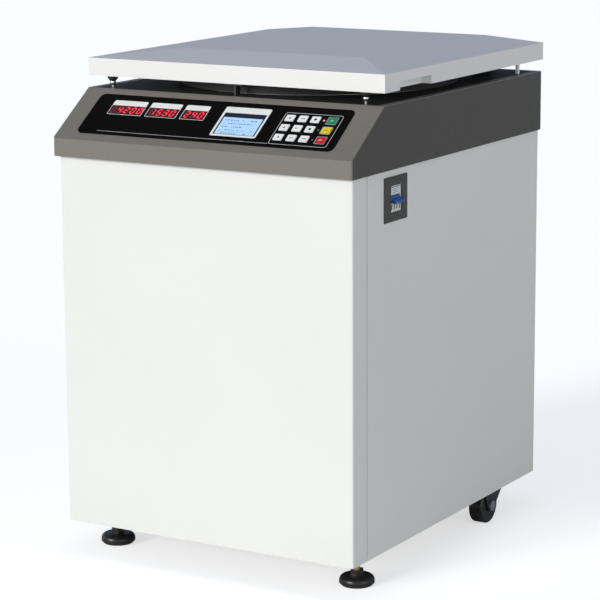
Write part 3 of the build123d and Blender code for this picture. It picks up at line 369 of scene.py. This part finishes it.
# %% Soft edges on the folded sheet
PANEL_BEND = 0.0011
BENDS = {"lid_shell": 0.0016, "top_console": 0.0014, "breaker_escutcheon": 0.0005,
         "right_panel": PANEL_BEND, "left_panel": PANEL_BEND, "front_panel": PANEL_BEND}
for name, width in BENDS.items():
    soft = nodes[name].modifiers.new("soft_edges", "BEVEL")
    soft.width = width
    soft.segments = 3
    soft.limit_method = "ANGLE"
    soft.angle_limit = math.radians(24)
    soft.harden_normals = True
print("edges softened on", len(BENDS), "nodes")

# %% [markdown]
# Prints and small trims are thin solids on a flat face, drawn as outlines in millimetres.

# %% Outlines and thin solids
breaker_low, breaker_high = [Vector(corner) * 1000 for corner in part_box("circuit_breaker")]
breaker_middle = (breaker_low + breaker_high) / 2
panel_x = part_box("right_panel")[1][0] * 1000
UP = Vector((0, 0, 1))
SLOPE = (Vector((0, CONSOLE_FRONT, SLOPE_FOOT)), Vector((1, 0, 0)),
         Vector((0, math.cos(SLOPE_ANGLE), math.sin(SLOPE_ANGLE))))
BREAKER = (Vector((breaker_high.x, breaker_middle.y, breaker_middle.z)), Vector((0, 1, 0)), UP)
RIGHT_SIDE = (Vector((panel_x, 0, 0)), Vector((0, 1, 0)), UP)
LEFT_SIDE = (Vector((-panel_x, 0, 0)), Vector((0, -1, 0)), UP)


def rounded(x0, x1, t0, t1, radius, steps=6):
    """Outline of a rectangle with rounded corners, anticlockwise."""
    corners = [(x1 - radius, t0 + radius, -90), (x1 - radius, t1 - radius, 0),
               (x0 + radius, t1 - radius, 90), (x0 + radius, t0 + radius, 180)]
    points = []
    for cx, ct, start in corners:
        for step in range(steps + 1):
            turn = math.radians(start + 90 * step / steps)
            points.append((cx + radius * math.cos(turn), ct + radius * math.sin(turn)))
    return points


def disc(x, t, radius, steps=20):
    turns = [2 * math.pi * i / steps for i in range(steps)]
    return [(x + radius * math.cos(a), t + radius * math.sin(a)) for a in turns]


def bar(x0, x1, t0, t1):
    return [(x0, t0), (x1, t0), (x1, t1), (x0, t1)]


class Trim:
    """Thin solids on one flat face, gathered into one piece."""

    def __init__(self, face):
        self.origin, self.across, self.up = face
        self.out = self.across.cross(self.up)
        self.points = []
        self.faces = []

    def layer(self, outline, height):
        first = len(self.points)
        for x, t in outline:
            spot = self.origin + self.across * x + self.up * t + self.out * height
            self.points.append(spot / 1000)
        return list(range(first, first + len(outline)))

    def walls(self, low, high):
        count = len(low)
        for i in range(count):
            j = (i + 1) % count
            self.faces.append((low[i], low[j], high[j], high[i]))

    def slab(self, outline, low, high):
        """Solid between two heights over the face."""
        under, over = self.layer(outline, low), self.layer(outline, high)
        self.walls(under, over)
        self.faces.append(tuple(over))
        self.faces.append(tuple(reversed(under)))

    def border(self, outer, inner, low, high):
        """Solid ring between two outlines with as many points."""
        a, b = self.layer(outer, low), self.layer(outer, high)
        c, d = self.layer(inner, low), self.layer(inner, high)
        self.walls(a, b)
        self.walls(d, c)
        self.walls(b, d)
        self.walls(c, a)

    def dome(self, x, t, radius, low, rise):
        """Low round cap."""
        rings = [self.layer(disc(x, t, radius * math.cos(a)), low + rise * math.sin(a))
                 for a in (0.0, 0.5, 1.0, 1.35)]
        for under, over in zip(rings, rings[1:]):
            self.walls(under, over)
        self.faces.append(tuple(rings[-1]))
        self.faces.append(tuple(reversed(rings[0])))

    def make(self, name, mat, slot, body="cabinet"):
        mesh = bpy.data.meshes.new(name)
        mesh.from_pydata(self.points, [], self.faces)
        mesh.materials.append(mat.data)
        piece = bpy.data.objects.new(name, mesh)
        bpy.context.scene.collection.objects.link(piece)
        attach(piece, body)
        print(name, len(mesh.polygons), "faces")


# %% [markdown]
# The three number windows: a pale header above a dark window, with slanted red digits.

# %% Number windows
SEGMENTS = {"0": "abcdef", "1": "bc", "2": "abged", "3": "abgcd", "4": "fgbc", "5": "afgcd",
            "6": "afgedc", "7": "abc", "8": "abcdefg", "9": "abcdfg", " ": ""}
STROKE = 2.7


def segment(kind, x, t):
    """One slanted stroke of a digit whose lower left corner is given."""
    w, h, s = DIGIT_WIDE, DIGIT_HIGH, STROKE / 2
    gap = 0.35
    mid = h / 2
    flat = {"a": h - s, "g": mid, "d": s}
    if kind in flat:
        y = flat[kind]
        shape = [(s + gap, y), (2 * s + gap, y - s), (w - 2 * s - gap, y - s), (w - s - gap, y),
                 (w - 2 * s - gap, y + s), (2 * s + gap, y + s)]
    else:
        cx = w - s if kind in "bc" else s
        low, high = (mid + gap, h - s - gap) if kind in "bf" else (s + gap, mid - gap)
        shape = [(cx, low), (cx + s, low + s), (cx + s, high - s), (cx, high),
                 (cx - s, high - s), (cx - s, low + s)]
    return [(x + px + py * math.tan(DIGIT_LEAN), t + py) for px, py in shape]


header = Trim(SLOPE)
window = Trim(SLOPE)
edging = Trim(SLOPE)
lit = Trim(SLOPE)
unlit = Trim(SLOPE)
for (x0, x1), value in zip(LED_WINDOWS, LED_VALUES):
    header.slab(rounded(x0 - EDGE_OUTER, x1 + EDGE_OUTER, LED_MIDDLE, LED_HIGH, 2.6),
                FACE_TOP, HEADER_TOP)
    window.slab(rounded(x0, x1, LED_LOW, LED_MIDDLE - 0.1, 0.8), FACE_TOP, FILM_TOP)
    outer, inner = [rounded(x0 - edge, x1 + edge, LED_LOW - edge, LED_MIDDLE + EDGE_RISE + edge,
                            radius) for edge, radius in ((EDGE_OUTER, 1.4), (EDGE_INNER, 1.0))]
    edging.border(outer, inner, FACE_TOP, EDGING_TOP)
    digits = value.replace(":", "")
    space = DIGIT_PITCH - DIGIT_WIDE
    start = (x0 + x1) / 2 - DIGIT_PITCH * len(digits) / 2 + space / 2 + DIGITS_SHIFT
    low = (LED_LOW + LED_MIDDLE - DIGIT_HIGH) / 2
    for place, digit in enumerate(digits):
        for kind in "abcdefg":
            shape = segment(kind, start + place * DIGIT_PITCH, low)
            target = lit if kind in SEGMENTS[digit] else unlit
            target.slab(shape, FILM_TOP, DIGIT_TOP)
    if ":" in value:
        middle = start + value.index(":") * DIGIT_PITCH - space / 2 + COLON_SHIFT
        for rise in COLON_RISES:
            lit.slab(disc(middle + rise * math.tan(DIGIT_LEAN), low + rise, COLON_RADIUS, 10),
                     FILM_TOP, DIGIT_TOP)
label_white = moulded("label_white", (0.93, 0.935, 0.92), rough=0.4, coat=0.1)
window_dark = moulded("window_dark", (0.05, 0.008, 0.01), rough=0.2, coat=0.4)
header.make("display_headers", label_white, "face_film")
window.make("display_windows", window_dark, "display_glass")
edging.make("display_edging", label_white, "face_film")
lit.make("digits_lit", glowing("digit_red", (0.95, 0.03, 0.05), 1.0), "display_glass")
unlit.make("digits_unlit", moulded("digit_dim", (0.17, 0.02, 0.02), rough=0.3), "display_glass")

# %% [markdown]
# The screen: a white surround with a deep header, a dark band, and a pale blue lit field.

# %% Screen
surround = Trim(SLOPE)
x0, x1, t0, t1 = LCD_FRAME
g0, g1, h0, h1 = LCD_GLASS
surround.border(rounded(x0, x1, t0, t1, 3.0), rounded(g0, g1, h0, h1, 0.6),
                FACE_TOP, SURROUND_TOP)
surround.make("screen_surround", label_white, "face_film")
glass = Trim(SLOPE)
lap = 0.05
glass.slab(rounded(g0 - lap, g1 + lap, h0 - lap, h1 + lap, 0.6), FACE_TOP, GLASS_TOP)
glass.make("screen_border", moulded("screen_navy", (0.006, 0.009, 0.035), rough=0.16, coat=0.5),
           "display_glass")
field = Trim(SLOPE)
x0, x1, t0, t1 = LCD_LIT
field.slab(rounded(x0, x1, t0, t1, 0.4), GLASS_TOP, EDGING_TOP)
field.make("screen_field", glowing("screen_blue", (0.42, 0.65, 0.95), 0.88, 0.88), "display_glass")
marks = Trim(SLOPE)
chance = random.Random(7)
for row in range(MARK_ROWS):
    t = t1 - MARK_TOP - row * MARK_PITCH
    x = x0 + MARK_LEFT
    while x < x1 - MARK_RIGHT:
        wide = chance.uniform(*MARK_WIDTHS)
        if chance.random() < (OFTEN if x < FULL_UNTIL or row in FULL_ROWS else SELDOM):
            marks.slab(bar(x, x + wide, t - MARK_HALF, t + MARK_HALF), EDGING_TOP, INK_TOP)
        x += wide + MARK_GAP
marks.slab(bar(x0 + 2.0, x1 - 2.0, t0 + 4.6, t0 + 5.0), EDGING_TOP, INK_TOP)
marks.make("screen_marks", glowing("screen_ink", (0.12, 0.28, 0.6), 0.7), "display_glass")

# %% [markdown]
# The keypad: a thin outline with a base line to its left, lamps, and marks on the keys.

# %% Keypad
lines = Trim(SLOPE)
x0, x1, t0, t1 = PAD
lines.border(rounded(x0, x1, t0, t1, PAD_RADIUS),
             rounded(x0 + LINE_WIDTH, x1 - LINE_WIDTH, t0 + LINE_WIDTH, t1 - LINE_WIDTH,
                     PAD_RADIUS - LINE_WIDTH), FACE_TOP, FILM_TOP)
lines.slab(bar(BASE_LINE_LEFT, x0 + 0.2, t0, t0 + LINE_WIDTH * 0.8), FACE_TOP, FILM_TOP)
wide, high = KEY_HALF
x = KEY_COLUMNS[-1]
for t in KEY_ROWS:
    outer, inner = [rounded(x - wide - edge, x + wide + edge, t - high - edge, t + high + edge,
                            radius) for edge, radius in ((KEY_EDGE_OUTER, 2.0),
                                                         (KEY_EDGE_INNER, 1.6))]
    lines.border(outer, inner, FACE_TOP, FILM_TOP)
lines.make("keypad_lines", moulded("line_grey", (0.52, 0.53, 0.52), rough=0.4), "face_film")

lamp_looks = [glowing("lamp_on", (1.0, 0.42, 0.36), 0.9),
              moulded("lamp_dim_green", (0.10, 0.16, 0.09), rough=0.2, coat=0.6),
              moulded("lamp_dim_amber", (0.15, 0.13, 0.08), rough=0.2, coat=0.6)]
for number, (t, look) in enumerate(zip(KEY_ROWS, lamp_looks), start=1):
    lamp = Trim(SLOPE)
    lamp.dome(LAMP_X, t, LAMP_RADIUS, FACE_TOP, LAMP_RISE)
    lamp.make(f"lamp_{number}", look, "face_film")

ink = moulded("key_ink", (0.05, 0.05, 0.055), rough=0.5)
ink_pale = moulded("key_ink_pale", (0.72, 0.74, 0.7), rough=0.5)


def key_mark(number, x, t):
    """Small plain mark on a key: a dot, a triangle or short bars."""
    mark = Trim(SLOPE)
    column = (number - 1) % 4
    low, high = KEY_TOP, KEY_TOP + KEY_INK
    if number in (3, 7):
        mark.slab(disc(x, t, 2.5), low, high)
    elif column == 3:
        mark.slab(bar(x - 3.4, x + 3.4, t - 1.5, t - 0.8), low, high)
        mark.slab(bar(x - 2.2, x + 2.2, t + 0.6, t + 1.3), low, high)
    elif column == 0:
        mark.slab([(x - 2.4, t - 1.6), (x + 2.4, t - 1.6), (x, t + 2.0)], low, high)
    else:
        for step in range(2 + number % 3):
            left = x - 3.0 + step * 2.0
            mark.slab(bar(left, left + 1.2, t - 1.2, t + 1.2 - 0.5 * (step % 2)), low, high)
    return mark


number = 0
for t in KEY_ROWS:
    for x in KEY_COLUMNS:
        number += 1
        slot = {4: "key_green", 8: "key_yellow", 12: "key_red"}.get(number, "key_white")
        look = ink_pale if slot in ("key_green", "key_red") else ink
        key_mark(number, x, t).make(f"key_mark_{number}", look, slot, f"push_key_{number}")

# %% [markdown]
# The breaker's face: a print above the toggle, and dark stripes under it.

# %% Breaker face
STRIPES, STRIPE_START, STRIPE_PITCH = 4, -13.4, 8.4
STRIPE_WIDE, STRIPE_LEAN = 3.2, 1.4
STRIPE_LOW, STRIPE_HIGH = -17.0, -8.2
PRINT_ROWS = ((15.6, 11.0), (12.8, 8.0), (10.0, 9.5))
PRINT_HALF, PRINT_SHORTER = 0.45, 2.0
PRINT_BAND = (-16.0, 16.0, 18.0, 20.0)
STRIPE_THICK, PRINT_THICK = 0.12, 0.1

stripes = Trim(BREAKER)
for step in range(STRIPES):
    y = STRIPE_START + step * STRIPE_PITCH
    low_y = y - STRIPE_LEAN
    stripes.slab([(low_y, STRIPE_LOW), (low_y + STRIPE_WIDE, STRIPE_LOW),
                  (y + STRIPE_WIDE, STRIPE_HIGH), (y, STRIPE_HIGH)], 0.0, STRIPE_THICK)
stripes.make("breaker_stripes", ink, "breaker_case")
prints = Trim(BREAKER)
for z, half in PRINT_ROWS:
    prints.slab(bar(-half, half - PRINT_SHORTER, z - PRINT_HALF, z + PRINT_HALF),
                0.0, PRINT_THICK)
prints.slab(bar(*PRINT_BAND), 0.0, PRINT_THICK)
prints.make("breaker_prints", moulded("print_grey", (0.3, 0.42, 0.4), rough=0.5),
            "breaker_case")

# %% [markdown]
# Two rivets hold each side panel's front fold.

# %% Rivets
RIVET_Y, RIVET_HEIGHTS = -271.0, (655.0, 130.0)
RIVET_RADIUS, RIVET_RISE = 1.8, 0.8
for name, face, sign in (("right_rivets", RIGHT_SIDE, 1), ("left_rivets", LEFT_SIDE, -1)):
    rivets = Trim(face)
    for z in RIVET_HEIGHTS:
        rivets.dome(sign * RIVET_Y, z, RIVET_RADIUS, 0.0, RIVET_RISE)
    rivets.make(name, finishes["panel_white"], "panel_white")

# %% [markdown]
# Fins of the condenser, as a row of thin plates made by geometry nodes.

# %% Condenser fins


def fin_tree(mat):
    tree = bpy.data.node_groups.new("fin_row", "GeometryNodeTree")
    face = tree.interface
    names = (("Count", "NodeSocketInt"), ("Pitch", "NodeSocketFloat"),
             ("Size", "NodeSocketVector"), ("Start", "NodeSocketVector"))
    keys = {}
    for label, kind in names:
        keys[label] = face.new_socket(label, in_out="INPUT", socket_type=kind).identifier
    face.new_socket("Geometry", in_out="OUTPUT", socket_type="NodeSocketGeometry")
    ins, out = tree.nodes.new("NodeGroupInput"), tree.nodes.new("NodeGroupOutput")
    step = tree.nodes.new("ShaderNodeCombineXYZ")
    row = tree.nodes.new("GeometryNodeMeshLine")
    plate = tree.nodes.new("GeometryNodeMeshCube")
    copies = tree.nodes.new("GeometryNodeInstanceOnPoints")
    real = tree.nodes.new("GeometryNodeRealizeInstances")
    finish = tree.nodes.new("GeometryNodeSetMaterial")
    finish.inputs["Material"].default_value = mat.data
    join = tree.links.new
    join(ins.outputs["Pitch"], step.inputs["X"])
    join(ins.outputs["Count"], row.inputs["Count"])
    join(ins.outputs["Start"], row.inputs["Start Location"])
    join(step.outputs[0], row.inputs["Offset"])
    join(ins.outputs["Size"], plate.inputs["Size"])
    join(row.outputs[0], copies.inputs["Points"])
    join(plate.outputs[0], copies.inputs["Instance"])
    join(copies.outputs[0], real.inputs[0])
    join(real.outputs[0], finish.inputs["Geometry"])
    join(finish.outputs[0], out.inputs[0])
    return tree, keys


def fin_row(name, count, pitch, size, start):
    tree, keys = fin_tree(finishes["fin_aluminium"])
    carrier = bpy.data.objects.new(name, bpy.data.meshes.new(name + "_seed"))
    bpy.context.scene.collection.objects.link(carrier)
    maker = carrier.modifiers.new("fins", "NODES")
    maker.node_group = tree
    for label, value in (("Count", count), ("Pitch", pitch), ("Size", size), ("Start", start)):
        maker[keys[label]] = value
    bpy.context.view_layer.update()
    ready = carrier.evaluated_get(bpy.context.evaluated_depsgraph_get())
    made = bpy.data.meshes.new_from_object(ready)
    carrier.modifiers.remove(maker)
    carrier.data = made
    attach(carrier, "cabinet")
    print(name, len(made.polygons), "faces")


FIN_COUNT, FIN_PITCH, FIN_SIZE = 120, 0.0024, (0.0003, 0.004, 0.25)
FIN_SIDE, FIN_STAND, FIN_MIDDLE = 0.0072, 0.0019, 0.21
low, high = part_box("condenser")
fin_row("condenser_fins", FIN_COUNT, FIN_PITCH, FIN_SIZE,
        (low[0] + FIN_SIDE, high[1] + FIN_STAND, FIN_MIDDLE))

# %% [markdown]
# A wide pale floor, which shows the machine's shadow.

# %% Floor
FLOOR_SIZE, FLOOR_GLOW = 60, 0.62
bpy.ops.mesh.primitive_plane_add(size=FLOOR_SIZE)
floor = bpy.context.object
floor.name = "floor"
ground = Mat("floor_pale")
ground.set(Base_Color=ground.mix(ground.noise(3.0), (0.78, 0.78, 0.78), (0.8, 0.8, 0.8)),
           Roughness=0.9)
path = ground.node("ShaderNodeLightPath")
ground.set(Emission_Color=(1.0, 1.0, 1.0))
ground.tree.links.new((Num(ground, path.outputs["Is Camera Ray"]) * FLOOR_GLOW).socket,
                      ground.bsdf.inputs["Emission Strength"])
floor.data.materials.append(ground.data)
print("floor ready")

# %% [markdown]
# The sky is bright in front and dim behind, and two soft suns stand at the front and the right.

# %% Light
world = bpy.data.worlds.new("studio")
bpy.context.scene.world = world
world.use_nodes = True
sky = world.node_tree
sky.nodes.clear()
out = sky.nodes.new("ShaderNodeOutputWorld")
seen = sky.nodes.new("ShaderNodeBackground")
seen.inputs[0].default_value = (1, 1, 1, 1)
soft = sky.nodes.new("ShaderNodeBackground")
choose = sky.nodes.new("ShaderNodeMixShader")
path = sky.nodes.new("ShaderNodeLightPath")
spot = sky.nodes.new("ShaderNodeTexCoord")
split = sky.nodes.new("ShaderNodeSeparateXYZ")
FRONT_SKY = ((0.92, 0.90, 0.85), (0.15, 0.185, 0.25), 0.7)
BACK_SKY = ((0.22, 0.28, 0.41), (0.15, 0.19, 0.28), 0.5)
BACK_START, BACK_FULL = 0.25, 0.7
ramps = []
for low_colour, high_colour, end in (FRONT_SKY, BACK_SKY):
    ramp = sky.nodes.new("ShaderNodeValToRGB")
    ramp.color_ramp.elements[0].color = (*low_colour, 1)
    ramp.color_ramp.elements[1].position = end
    ramp.color_ramp.elements[1].color = (*high_colour, 1)
    sky.links.new(split.outputs["Z"], ramp.inputs[0])
    ramps.append(ramp)
behind = sky.nodes.new("ShaderNodeMapRange")
behind.inputs["From Min"].default_value = BACK_START
behind.inputs["From Max"].default_value = BACK_FULL
blend = sky.nodes.new("ShaderNodeMix")
blend.data_type = "RGBA"
sky.links.new(spot.outputs["Generated"], split.inputs[0])
sky.links.new(split.outputs["Y"], behind.inputs[0])
sky.links.new(behind.outputs[0], blend.inputs[0])
sky.links.new(ramps[0].outputs[0], blend.inputs[6])
sky.links.new(ramps[1].outputs[0], blend.inputs[7])
sky.links.new(blend.outputs[2], soft.inputs[0])
sky.links.new(path.outputs["Is Camera Ray"], choose.inputs[0])
sky.links.new(soft.outputs[0], choose.inputs[1])
sky.links.new(seen.outputs[0], choose.inputs[2])
sky.links.new(choose.outputs[0], out.inputs[0])

SUNS = (("key_light", 1.86, 0.35, (1.0, 0.99, 0.96), (-0.30, -0.92, 0.28)),
        ("side_light", 0.62, 0.9, (1.0, 0.94, 0.82), (0.94, -0.30, 0.12)))
for name, power, angle, colour, way in SUNS:
    sun = bpy.data.lights.new(name, "SUN")
    sun.energy = power
    sun.angle = angle
    sun.color = colour
    sun_object = bpy.data.objects.new(name, sun)
    bpy.context.scene.collection.objects.link(sun_object)
    sun_object.rotation_euler = Vector(way).to_track_quat("Z", "Y").to_euler()
print("light ready")

# %% [markdown]
# The camera stands where the photograph was taken from.

# %% Camera
TARGET = Vector((0.0, 0.0024, 0.40575))
DISTANCE = 4.17406
SENSOR, FOCAL_LENGTH = 36.0, 145.64
SHIFT = (-0.01339, -0.00379)
TURN, RISE, ROLL = math.radians(30.509), math.radians(11.537), math.radians(-0.3134)
away = Vector((math.sin(TURN) * math.cos(RISE), -math.cos(TURN) * math.cos(RISE),
               math.sin(RISE)))
right = Vector((0, 0, 1)).cross(away).normalized()
above = away.cross(right)
right, above = (right * math.cos(ROLL) + above * math.sin(ROLL),
                above * math.cos(ROLL) - right * math.sin(ROLL))
eye = TARGET + away * DISTANCE
turn = Matrix((right, above, away)).transposed().to_4x4()
lens = bpy.data.cameras.new("camera")
lens.sensor_width = SENSOR
lens.lens = FOCAL_LENGTH
lens.shift_x, lens.shift_y = SHIFT
lens.clip_end = 100.0
camera = bpy.data.objects.new("camera", lens)
bpy.context.scene.collection.objects.link(camera)
camera.matrix_world = Matrix.Translation(eye) @ turn
bpy.context.scene.camera = camera
bpy.context.scene.view_settings.view_transform = "Standard"
print("camera ready")
